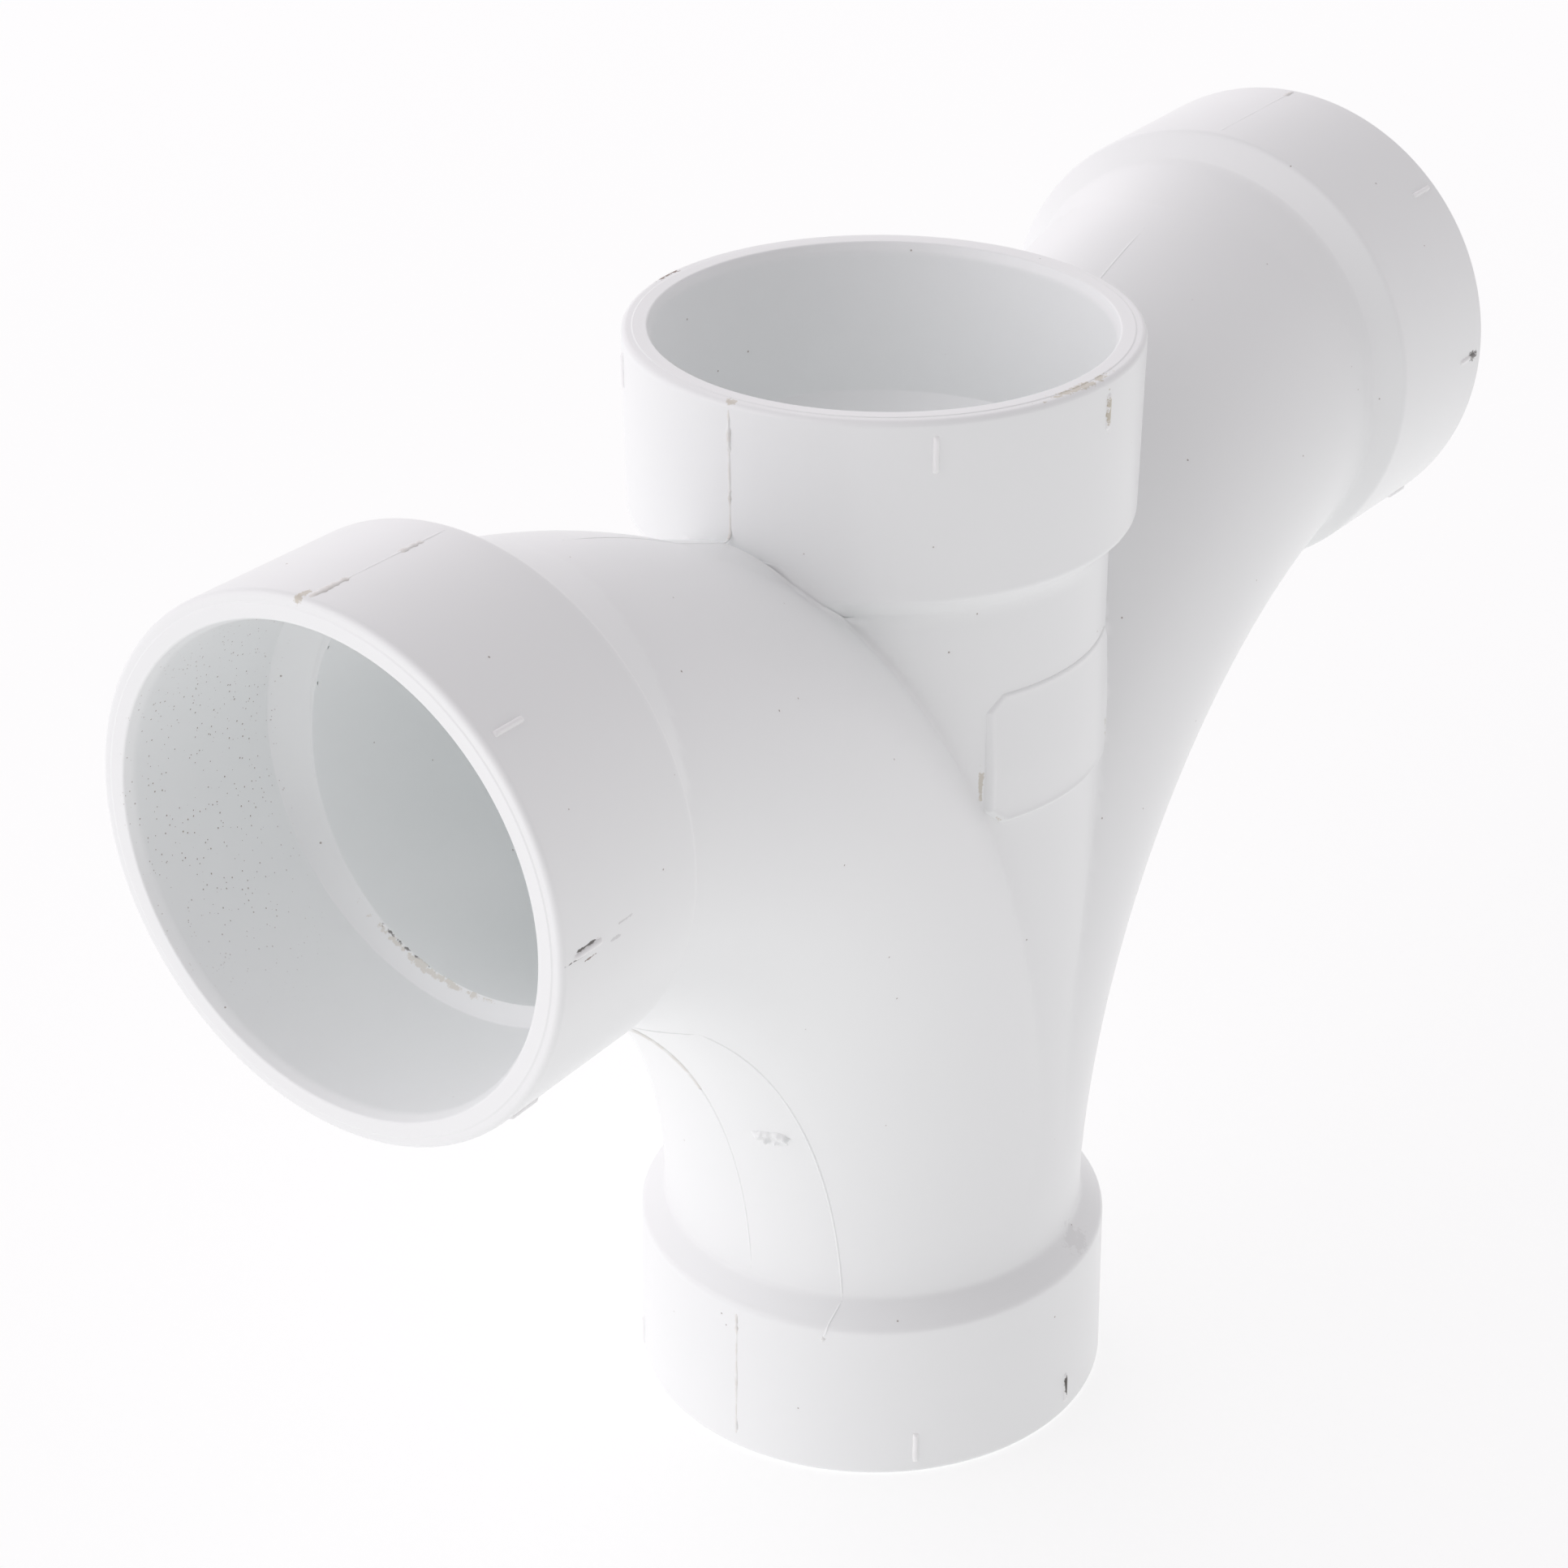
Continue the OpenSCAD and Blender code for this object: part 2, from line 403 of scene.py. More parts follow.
def make_piece(name, vertices, faces, materials, corner_normals=None, face_materials=None):
    """A mesh object in metres, smooth shaded, riding on the one body in place of the CAD node of its name."""
    mesh = bpy.data.meshes.new(name)
    mesh.from_pydata((np.asarray(vertices) * MM).tolist(), [], [list(map(int, f)) for f in faces])
    mesh.shade_smooth()
    if corner_normals is not None:
        mesh.normals_split_custom_set(np.asarray(corner_normals, float).tolist())
    for material in materials:
        mesh.materials.append(material)
    if face_materials is not None:
        mesh.polygons.foreach_set("material_index", face_materials)
    piece = bpy.data.objects.new(name, mesh)
    bpy.context.scene.collection.objects.link(piece)
    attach(piece, "root")
    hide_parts(name)
    return piece


def flat_normals(vertices, faces):
    a, b, c, d = (vertices[faces[:, i]] for i in range(4))
    n = np.cross(c - a, d - b)
    return n / np.maximum(np.linalg.norm(n, axis=1), 1e-12)[:, None]


def region_piece(name, body, label, material):
    """One region of the body, closed where it meets its neighbours."""
    points, normals, faces, visible = body
    used, local = np.unique(faces[label], return_inverse=True)
    local = local.reshape(-1, 4)
    vertices = points[used]
    flat = np.repeat(flat_normals(vertices, local)[:, None], 4, 1)
    smooth = normals[used][local]
    corner = np.where(visible[label][:, None, None], smooth, flat)
    return make_piece(name, vertices, local, [material], corner.reshape(-1, 3))


class Mesh:
    """Closed shells gathered for one piece, each in one of its materials."""

    def __init__(self):
        self.vertices, self.faces, self.materials, self.face_materials, self.count = [], [], [], [], 0

    def add(self, vertices, faces, material):
        if material not in self.materials:
            self.materials.append(material)
        vertices = np.asarray(vertices).reshape(-1, 3)
        self.vertices.append(vertices)
        self.faces += [[i + self.count for i in f] for f in faces]
        self.face_materials += [self.materials.index(material)] * len(faces)
        self.count += len(vertices)

    def piece(self, name):
        return make_piece(
            name, np.concatenate(self.vertices), self.faces, self.materials, face_materials=self.face_materials
        )


def noise_1d(seed, count, wavelength):
    """A smooth row of values from -1 to 1."""
    random = np.random.default_rng(seed)
    knots = random.uniform(-1, 1, int(count / wavelength) + 3)
    at = np.arange(count) / wavelength
    i = at.astype(int)
    t = at - i
    t = t * t * (3 - 2 * t)
    return knots[i] * (1 - t) + knots[i + 1] * t


# ---- Hubs: grids turned about the hub's axis ----

def corner_arc(before, corner, after, radius, steps=6):
    """Points of the arc that rounds a corner of an outline."""
    before, corner, after = (np.array(v, float) for v in (before, corner, after))
    a = (before - corner) / np.linalg.norm(before - corner)
    b = (after - corner) / np.linalg.norm(after - corner)
    half = math.acos(np.clip(a @ b, -1, 1)) / 2
    reach = radius / math.tan(half)
    middle = (a + b) / np.linalg.norm(a + b)
    centre = corner + middle * radius / math.sin(half)
    start, end = corner + a * reach - centre, corner + b * reach - centre
    sweep = math.pi - 2 * half
    turn = math.copysign(1, start[0] * end[1] - start[1] * end[0])
    points = []
    for i in range(steps + 1):
        angle = turn * sweep * i / steps
        c, s = math.cos(angle), math.sin(angle)
        points.append(centre + np.array([c * start[0] - s * start[1], s * start[0] + c * start[1]]))
    return points


def rounded_outline(corners):
    """An outline in (radius, depth) from corners (radius, depth, rounding)."""
    points = [np.array(corners[0][:2], float)]
    for before, here, after in zip(corners, corners[1:], corners[2:]):
        points += corner_arc(before[:2], here[:2], after[:2], here[2])
    points.append(np.array(corners[-1][:2], float))
    fine = [points[0]]
    for a, b in zip(points, points[1:]):
        steps = max(1, math.ceil(np.linalg.norm(b - a) / SURFACE_STEP))
        fine += [a + (b - a) * i / steps for i in range(1, steps + 1)]
    keep = [0] + [i for i in range(1, len(fine)) if np.linalg.norm(fine[i] - fine[i - 1]) > 1e-4]
    return np.array([fine[i] for i in keep])


def outer_radius(hub, angle, depth):
    """Radius of the outer surface. Past the line where a sweep takes over it dips out of sight."""
    angle = np.broadcast_to(angle, depth.shape)
    radius = np.full(depth.shape, TUBE_R + 1.0)
    limit = CREASE_R / 4
    for _ in range(30):
        p = hub.point(angle, radius, depth)
        distance, gradient = outside_field(p.reshape(-1, 3))
        slope = (gradient * hub.outward(angle).reshape(-1, 3)).sum(1)
        move = -distance / np.maximum(slope, 0.4)
        radius = radius + np.clip(move, -2, 2).reshape(radius.shape)
        own = hub.field(hub.point(angle, radius, depth).reshape(-1, 3))[0].reshape(radius.shape)
        if hub.name == "top":
            radius = np.where(own > limit, radius - (own - limit), radius)
    if hub.name == "top":
        p = hub.point(angle, radius, depth).reshape(-1, 3)
        barrel, left, right, _ = region_fields(p)
        own = np.minimum(hub.field(p)[0], barrel)
        past = np.maximum(own - np.minimum(left, right), 0).reshape(radius.shape)
        radius = radius - np.minimum(0.12 * past, 0.6)
    return radius


def bore_radius(hub, angle, depth):
    """Radius of the waterway behind the pipe stop."""
    angle = np.broadcast_to(angle, depth.shape)
    radius = np.full(depth.shape, RUN_BORE_R)
    if hub.name in ("top", "bottom"):
        return radius
    for _ in range(20):
        p = hub.point(angle, radius, depth).reshape(-1, 3)
        distance, gradient = waterway_field(p)
        slope = (gradient * hub.outward(angle).reshape(-1, 3)).sum(1)
        radius = radius - (distance / np.maximum(slope, 0.4)).reshape(radius.shape)
    return radius


def turned_piece(name, hub, runs, material):
    """A closed ring about a hub's axis. Each run is a strip (radius, depth) with its own smooth normals.

    A run is (radius, depth, use_field): arrays of angle by outline point, and whether to take the normals
    of the moulding's field.
    """
    angle = np.linspace(0, 2 * math.pi, AROUND, endpoint=False)[:, None]
    grids, grid_normals = [], []
    for radius, depth, use_field in runs:
        p = hub.point(angle, radius, depth)
        along = np.gradient(p, axis=1)
        round_ = np.roll(p, -1, 0) - np.roll(p, 1, 0)
        n = np.cross(round_, along)
        n /= np.maximum(np.linalg.norm(n, axis=2), 1e-12)[..., None]
        if use_field is not None:
            field = wall_field(p.reshape(-1, 3))[1].reshape(p.shape)
            n = np.where(use_field[..., None], field, n)
        grids.append(p)
        grid_normals.append(n)
    vertices = np.concatenate([g[:, :-1] for g in grids], 1)
    width = vertices.shape[1]
    start = np.cumsum([0] + [g.shape[1] - 1 for g in grids])
    i = np.arange(AROUND)[:, None]
    j = np.arange(width)[None, :]
    i2, j2 = (i + 1) % AROUND, (j + 1) % width
    faces = np.stack(np.broadcast_arrays(i * width + j, i * width + j2, i2 * width + j2, i2 * width + j), -1)
    corner = np.zeros(faces.shape + (3,))
    for k, n in enumerate(grid_normals):
        s = slice(start[k], start[k + 1])
        rolled = np.roll(n, -1, 0)
        corner[:, s, 0] = n[:, :-1]
        corner[:, s, 1] = n[:, 1:]
        corner[:, s, 2] = rolled[:, 1:]
        corner[:, s, 3] = rolled[:, :-1]
    faces = faces.reshape(-1, 4)
    vertices = vertices.reshape(-1, 3)
    corner = corner.reshape(-1, 4, 3)
    # Turn everything so that faces and normals both point out of the plastic
    flat = flat_normals(vertices, faces)
    if enclosed_volume(vertices, faces) < 0:
        faces = faces[:, ::-1]
        corner = corner[:, ::-1]
        flat = -flat
    agree = np.sign((corner * flat[:, None]).sum(2))
    corner = corner * np.where(agree == 0, 1, agree)[..., None]
    return make_piece(name, vertices, faces, [material], corner.reshape(-1, 3))


def enclosed_volume(vertices, faces):
    """Six times the volume inside a closed shell of quads: negative if they face inward."""
    a, b, c, d = (vertices[faces[:, i]] for i in range(4))
    return (a * np.cross(b, c) + a * np.cross(c, d)).sum()


def stop_slope(hub):
    """How fast the pipe stop's cone closes in, in radius over depth."""
    return (SOCKET_R - RUN_BORE_R) / (STOP_END - STOP_START[hub.name])


def socket_outline(hub):
    """The socket's section from the pipe stop out over the rim and back to the shoulder."""
    rim_in = SOCKET_R + LEAD_WIDTH
    split_r = SOCKET_R - stop_slope(hub) * (STOP_DEPTH - STOP_START[hub.name])
    return rounded_outline([
        (split_r, STOP_DEPTH, 0),
        (SOCKET_R, STOP_START[hub.name], 0.6),
        (SOCKET_R, LEAD_DEPTH, 3.0),
        (rim_in, RIM_LINE_DROP / 2, 0.5),
        (RIM_LINE_R - 0.15, 0.0, 0.1),
        (RIM_LINE_R + 0.15, RIM_LINE_DROP, 0.1),
        (HUB_R, RIM_LINE_DROP, RIM_ROUND),
        (wall_radius(BACK_START), BACK_START, 20),
    ])


def build_hub(hub, material):
    angle = np.linspace(0, 2 * math.pi, AROUND, endpoint=False)[:, None]
    outline = socket_outline(hub)
    shoulder = np.arange(BACK_START + BACK_STEP, STOP_DEPTH, BACK_STEP)
    shoulder = np.append(shoulder[shoulder < STOP_DEPTH - 0.1], STOP_DEPTH)
    section_r = np.repeat(outline[None, :, 0], AROUND, 0)
    section_d = np.repeat(outline[None, :, 1], AROUND, 0)
    back_d = np.repeat(shoulder[None], AROUND, 0)
    back_r = outer_radius(hub, angle, back_d)
    run_r = np.concatenate([section_r, back_r], 1)
    run_d = np.concatenate([section_d, back_d], 1)
    from_field = np.zeros(run_r.shape, bool)
    from_field[:, section_r.shape[1]:] = True
    cut_r = np.linspace(run_r[:, -1], run_r[:, 0], 3, axis=1)
    cut_d = np.full(cut_r.shape, STOP_DEPTH)
    turned_piece(f"{hub.name}_socket", hub, [(run_r, run_d, from_field), (cut_r, cut_d, None)], material)

    # The stop ring: shoulder outside, waterway inside, the rest of the pipe stop's cone in front
    ring_d = np.repeat(np.linspace(STOP_DEPTH, SHOULDER_END, 10)[None], AROUND, 0)
    ring_r = outer_radius(hub, angle, ring_d)
    cone_end = bore_radius(hub, angle, np.full((AROUND, 1), STOP_DEPTH)) + EDGE_R
    cone_end = np.clip(cone_end, RUN_BORE_R, outline[0, 0] - 0.1)
    cone_r = cone_end + (outline[0, 0] - cone_end) * np.linspace(0, 1, 5)[None]
    cone_d = STOP_START[hub.name] + (SOCKET_R - cone_r) / stop_slope(hub)
    bore_start = cone_d[:, :1] + EDGE_R
    bore_d = SHOULDER_END + (bore_start - SHOULDER_END) * np.linspace(0, 1, 4)[None]
    bore_r = bore_radius(hub, angle, bore_d)
    turn = np.linspace(0, math.pi / 2, 6)[None, 1:-1]
    edge_r = bore_r[:, -1:] + (cone_end - bore_r[:, -1:]) * (1 - np.cos(turn))
    edge_d = bore_start - EDGE_R * np.sin(turn)
    cap_r = np.linspace(ring_r[:, -1], bore_r[:, 0], 3, axis=1)
    cap_d = np.full(cap_r.shape, SHOULDER_END)
    inner_r = np.concatenate([bore_r, edge_r, cone_r], 1)
    inner_d = np.concatenate([bore_d, edge_d, cone_d], 1)
    join_r = np.linspace(inner_r[:, -1], ring_r[:, 0], 3, axis=1)
    join_d = np.full(join_r.shape, STOP_DEPTH)
    runs = [
        (ring_r, ring_d, np.ones(ring_r.shape, bool)),
        (cap_r, cap_d, None),
        (inner_r, inner_d, None),
        (join_r, join_d, None),
    ]
    turned_piece(f"{hub.name}_stop_ring", hub, runs, material)


# ---- Raised marks: low mounds that follow the surface ----

def mound(mesh, material, points, normals, half_width, height, squareness=2.0, sink=0.12, across=9):
    """A closed ridge along points, with its edges tucked under the surface."""
    points, normals = np.asarray(points, float), np.asarray(normals, float)
    count = len(points)
    half_width = np.broadcast_to(half_width, count)[:, None]
    height = np.broadcast_to(height, count)[:, None]
    along = np.gradient(points, axis=0)
    along /= np.linalg.norm(along, axis=1)[:, None]
    aside = np.cross(normals, along)
    aside /= np.linalg.norm(aside, axis=1)[:, None]
    t = np.linspace(-1, 1, across)[None]
    lift = (height + sink) * (1 - np.abs(t) ** squareness) - sink
    top = points[:, None] + aside[:, None] * (t * half_width)[..., None] + normals[:, None] * lift[..., None]
    under = points - normals * 3 * sink
    rows = np.concatenate([top, under[:, None]], 1)
    width = across + 1
    faces = []
    for i in range(count - 1):
        for j in range(width):
            j2 = (j + 1) % width
            faces.append([i * width + j, (i + 1) * width + j, (i + 1) * width + j2, i * width + j2])
    faces.append(list(range(width)))
    faces.append([(count - 1) * width + j for j in range(width)][::-1])
    mesh.add(rows, faces, material)


def hub_wall_line(hub, angle_deg, start, end, step=0.5):
    """Points down a hub's wall and round its shoulder, on the surface."""
    depth = np.linspace(start, end, max(3, int((end - start) / step) + 1))
    angle = np.full(depth.shape, math.radians(angle_deg))
    p = hub.point(angle, wall_radius(depth), depth)
    clear = np.minimum(sweep_field(p, -1)[0], sweep_field(p, 1)[0]) > 0.5
    return on_surface(p[clear])


def ends_down(count, taper):
    """A row that is 1 in the middle and falls to 0 over taper steps at each end."""
    i = np.arange(count)
    near = np.minimum(i, count - 1 - i) / taper
    near = np.clip(near, 0, 1)
    return near * near * (3 - 2 * near)


# Ticks stand at these steps of 45 degrees, with the parting line at the other two
TICK_HALF_WIDTH = 0.65
TICK_HEIGHT = 0.48
TICK_STEPS = (1, 2, 3, 5, 6, 7)


def build_ticks(hub):
    mesh = Mesh()
    for step in TICK_STEPS:
        points, normals = hub_wall_line(hub, 45 * step, TICK_START, TICK_END, 0.25)
        shape = ends_down(len(points), 3) ** 0.5
        width = TICK_HALF_WIDTH * (0.9 + 0.1 * shape)
        height = -0.1 + (TICK_HEIGHT + 0.1) * shape
        # The ticks take the lighter tones: a painted highlight for the light they catch.
        mound(mesh, highlight_plastic, points, normals, width, height, squareness=2.4, sink=0.1, across=11)
    mesh.piece(f"{hub.name}_ticks")


# Flash on the parting line: (hub, angle, from depth, to depth, half width, height)
FLASH = [
    ("top", 180, 2.4, 10.0, 0.6, 0.4),
    ("top", 180, 16.8, 20.6, 0.5, 0.35),
    ("top", 0, 4.0, 12.0, 0.5, 0.3),
    ("bottom", 180, 1.4, 8.0, 0.6, 0.35),
    ("bottom", 180, 29.5, 34.5, 0.5, 0.3),
    ("bottom", 0, 2.0, 7.0, 0.5, 0.3),
    ("left", 0, 1.3, 11.0, 1.0, 0.27),
    ("left", 0, 23.0, 29.0, 0.9, 0.27),
    ("right", 0, 1.6, 6.0, 0.8, 0.27),
    ("left", 180, 1.6, 4.0, 0.7, 0.3),
    ("right", 180, 2.0, 9.0, 0.5, 0.3),
]
LINE_HALF_WIDTH = 0.34
LINE_HEIGHT = 0.15
LINE_START = 1.4
LINE_END = 34.5


def build_parting_line(hub):
    """Where the mould's halves met: a fine line with thicker flash here and there."""
    mesh = Mesh()
    upright = hub.name in ("top", "bottom")
    end = SHOULDER_END if hub.name == "top" else LINE_END
    for n, angle in enumerate((0, 180)):
        points, normals = hub_wall_line(hub, angle, LINE_START, end, 0.4)
        count = len(points)
        wander = noise_1d(100 * n + len(hub.name), count, 9)
        height = (LINE_HEIGHT if upright else 0.5 * LINE_HEIGHT) * (0.75 + 0.4 * wander) * ends_down(count, 4)
        line = flash if upright else plastic
        mound(mesh, line, points, normals, LINE_HALF_WIDTH * (1 + 0.25 * wander), height, sink=0.05)
    for seed, (name, angle, start, end, half_width, height) in enumerate(FLASH):
        if name != hub.name:
            continue
        points, normals = hub_wall_line(hub, angle, start, end, 0.25)
        count = len(points)
        rough = noise_1d(seed, count, 3)
        shape = ends_down(count, 6) * (0.75 + 0.25 * rough)
        width = half_width * (0.75 + 0.25 * rough)
        mound(mesh, flash, points, normals, width, height * shape, squareness=3, sink=0.08)
    mesh.piece(f"{hub.name}_parting_line")


def bend_line(side, offset_y, angles, inner=True):
    """Points round a sweep's bend at a distance offset_y from its middle plane, on the surface."""
    offset_y = np.broadcast_to(offset_y, angles.shape)
    reach = np.sqrt(TUBE_R ** 2 - offset_y ** 2)
    radius = SWEEP_R - reach if inner else SWEEP_R + reach
    x = side * (SWEEP_R - radius * np.cos(angles))
    z = SWEEP_Z + radius * np.sin(angles)
    return on_surface(np.stack([x, offset_y, z], 1))


# Angles round the bend, from its foot on the run to its end at the side hub
BEND_START = math.radians(3)
BEND_END = math.radians(76)
OUTER_START = math.radians(57)
OUTER_END = math.radians(74)
INSERT_END = math.radians(52)

# The seam inside the bend is fine at its foot and grows into flash between two shares of its length
SEAM_GROWS = (0.35, 0.65)
SEAM_SPLIT = 0.4
FINE_HALF_WIDTH, FINE_HEIGHT = 0.32, 0.14
FLASH_HALF_WIDTH, FLASH_HEIGHT = 1.15, 0.6

# The edge of the mould's insert: its distance from the parting line, and where its foot is
INSERT_Y = 17.0
INSERT_DRIFT = 2.7
INSERT_TOP_Y = 5.0
INSERT_FOOT = (46.4, -19.2, 34.0)
INSERT_HALF_WIDTH, INSERT_HEIGHT = 0.28, 0.17


def build_sweep_seam(side, name):
    """The parting line inside and outside the bend, and the edges of the mould's insert under it."""
    mesh = Mesh()
    angles = np.linspace(BEND_START, BEND_END, 170)
    points, normals = bend_line(side, 0.0, angles)
    count = len(points)
    wander = noise_1d(7 + side, count, 14)
    heavy = np.interp(np.arange(count) / count, SEAM_GROWS, (0, 1))
    height = FINE_HEIGHT + (FLASH_HEIGHT - FINE_HEIGHT) * heavy
    height = height * (0.8 + 0.25 * wander) * ends_down(count, 8)
    width = FINE_HALF_WIDTH + (FLASH_HALF_WIDTH - FINE_HALF_WIDTH) * heavy
    width = width * (1 + 0.25 * wander)
    split = int(SEAM_SPLIT * count)
    for material, s in ((plastic, slice(0, split + 1)), (flash, slice(split, count))):
        mound(mesh, material, points[s], normals[s], width[s], height[s], sink=0.06)

    angles = np.linspace(OUTER_START, OUTER_END, 60)
    points, normals = bend_line(side, 0.0, angles, inner=False)
    mound(mesh, plastic, points, normals, 0.35, 0.1 * ends_down(len(points), 8), sink=0.06)

    # The insert's edge toward -Y. It turns in toward the parting line at its top, and runs down to its foot
    angles = np.linspace(BEND_START - 0.03, INSERT_END, 110)
    y = -INSERT_Y - INSERT_DRIFT * (INSERT_END - angles) / (INSERT_END - BEND_START)
    edge = bend_line(side, y, angles)
    turn_angles = INSERT_END + 0.04 * np.sin(np.linspace(0, math.pi / 2, 40))
    turn = bend_line(side, np.linspace(-INSERT_Y, -INSERT_TOP_Y, 40), turn_angles)
    end = edge[0][0]
    foot = np.array(INSERT_FOOT) * (side, 1, 1)
    down = on_surface(end + (foot - end) * np.linspace(0, 1, 24)[:, None])
    for seed, (points, normals) in enumerate((edge, turn, down)):
        wander = noise_1d(31 + side + seed, len(points), 10)
        height = (INSERT_HEIGHT + 0.05 * wander) * ends_down(len(points), 5)
        mound(mesh, plastic, points, normals, INSERT_HALF_WIDTH, height, sink=0.05)
    dot = on_surface(foot - Z * np.linspace(-0.8, 0.8, 9)[:, None])
    mound(mesh, flash, *dot, 0.6 * ends_down(9, 4) + 0.1, 0.3 * ends_down(9, 4), sink=0.05)
    mesh.piece(name)


# The pad's cut corners, and its lip: height as a share of the plate's thickness by distance in from the edge
PAD_CUT = 3.2
PAD_STEP = 1.5
PAD_CLEAR = 0.05
LIP_RINGS = (0.05, 0.12, 0.25, 0.4, 0.6, 0.85, 1.1, 1.4, 1.8, 2.4)
LIP_INSET = (0, 0.15, 0.35, 0.6, 0.9, 1.3, 1.8)
LIP_HEIGHT = (0.15, 0.5, 0.85, 1.0, 1.0, 0.86, 0.78)
FACE_RINGS = (0.85, 0.7, 0.55, 0.4, 0.25, 0.1)


def build_pad():
    """The size pad: an eight-sided plate with a fine lip, left blank."""
    half_w = pad_high[0] - PAD_CLEAR
    half_h = (pad_high[2] - pad_low[2]) / 2 - PAD_CLEAR
    middle = (pad_high[2] + pad_low[2]) / 2
    thick = -pad_low[1] - BARREL_R - 0.02
    corners = [
        (-half_w, PAD_CUT - half_h), (PAD_CUT - half_w, -half_h), (half_w - PAD_CUT, -half_h),
        (half_w, PAD_CUT - half_h), (half_w, half_h - PAD_CUT), (half_w - PAD_CUT, half_h),
        (PAD_CUT - half_w, half_h), (-half_w, half_h - PAD_CUT),
    ]
    edge = []
    for i, here in enumerate(corners):
        rounded = corner_arc(corners[i - 1], here, corners[(i + 1) % 8], 0.9, 4)
        if edge:
            steps = math.ceil(np.linalg.norm(rounded[0] - edge[-1]) / PAD_STEP)
            edge += [edge[-1] + (rounded[0] - edge[-1]) * k / steps for k in range(1, steps)]
        edge += rounded
    steps = math.ceil(np.linalg.norm(edge[0] - edge[-1]) / PAD_STEP)
    edge += [edge[-1] + (edge[0] - edge[-1]) * k / steps for k in range(1, steps)]
    edge = np.array(edge)
    reach = np.linalg.norm(edge, axis=1)[:, None]

    def fade(ring):
        """The plate sinks almost out of sight toward its top edge."""
        return np.interp(ring[:, 1] / half_h, (-0.2, 0.9), (1.0, 0.35))

    rings = [(edge, -0.5), (edge, 0.0)]
    for step in LIP_RINGS:
        ring = edge * (1 - step / reach)
        u, v = np.abs(ring[:, 0]), np.abs(ring[:, 1])
        from_cut = (half_w + half_h - PAD_CUT - u - v) / math.sqrt(2)
        inset = np.minimum.reduce([half_w - u, half_h - v, from_cut])
        lip = np.interp(inset, LIP_INSET, LIP_HEIGHT)
        rings.append((ring, thick * lip * fade(ring)))
    inner = rings[-1][0]
    for share in FACE_RINGS:
        ring = inner * share
        rings.append((ring, LIP_HEIGHT[-1] * thick * fade(ring)))

    count = len(edge)
    vertices = []
    for ring, height in rings:
        radius = BARREL_R + height
        y = -np.sqrt(radius ** 2 - ring[:, 0] ** 2)
        vertices.append(np.stack([ring[:, 0], y, middle + ring[:, 1]], 1))
    vertices = np.concatenate(vertices)
    faces = [list(range(count))[::-1]]
    for r in range(len(rings) - 1):
        for i in range(count):
            i2 = (i + 1) % count
            faces.append([r * count + i, r * count + i2, (r + 1) * count + i2, (r + 1) * count + i])
    faces.append([(len(rings) - 1) * count + i for i in range(count)])
    mesh = Mesh()
    mesh.add(vertices, faces, plastic)
    mesh.piece("size_pad")


# The gate's scar, and the chips left standing on it: (aside, up, breadth, height)
SCAR_HEIGHT = 0.12
SCAR_TALLEST = 1.2
SCAR_FLATTENED = 0.6
CHIPS = [
    (-2.9, 0.6, 0.9, 1.0), (-1.4, 1.3, 0.7, 0.7), (-0.8, -1.0, 0.7, 0.9), (0.7, 1.0, 0.8, 0.7),
    (1.2, -0.8, 0.8, 1.2), (2.8, 0.1, 0.8, 1.0), (2.1, 1.1, 0.6, 0.7), (0.2, 0.1, 0.9, -0.5),
]


def build_gate():
    """The scar where the injection gate was snapped off: a low chipped mound."""
    centre, normal = (v[0] for v in on_surface((gate_low + gate_high)[None] / 2))
    radius = (gate_high[1] - gate_low[1]) / 2
    aside = np.cross(normal, Z)
    aside /= np.linalg.norm(aside)
    up = np.cross(aside, normal)
    around, rings = 72, 18
    angle = np.linspace(0, 2 * math.pi, around, endpoint=False)
    ragged = 1 + 0.1 * np.sin(3 * angle + 1) + 0.06 * np.sin(7 * angle) + 0.04 * np.sin(13 * angle + 2)
    share = 1 - np.arange(rings)[:, None] / rings
    u = radius * share * ragged * np.cos(angle)
    v = SCAR_FLATTENED * radius * share * ragged * np.sin(angle)
    height = np.full(u.shape, SCAR_HEIGHT)
    for x, y, breadth, tall in CHIPS:
        height += tall * np.exp(-((u - x) ** 2 + (v - y) ** 2) / breadth ** 2)
    height = np.clip(height * np.clip((1 - share) * 6, 0, 1), 0, SCAR_TALLEST)
    height[0] = -0.15
    base = centre + u[..., None] * aside + v[..., None] * up
    base, normals = on_surface(base.reshape(-1, 3))
    top = base + normals * height.reshape(-1, 1)
    points = np.concatenate([top, (centre - normal * 0.6)[None]])
    faces = []
    for r in range(rings - 1):
        for i in range(around):
            i2 = (i + 1) % around
            faces.append([r * around + i, r * around + i2, (r + 1) * around + i2, (r + 1) * around + i])
    faces.append([(rings - 1) * around + i for i in range(around)])
    faces += [[(i + 1) % around, i, rings * around] for i in range(around)]
    mesh = Mesh()
    mesh.add(points, faces, plastic)
    mesh.piece("gate_stub")


# ---- Material ----

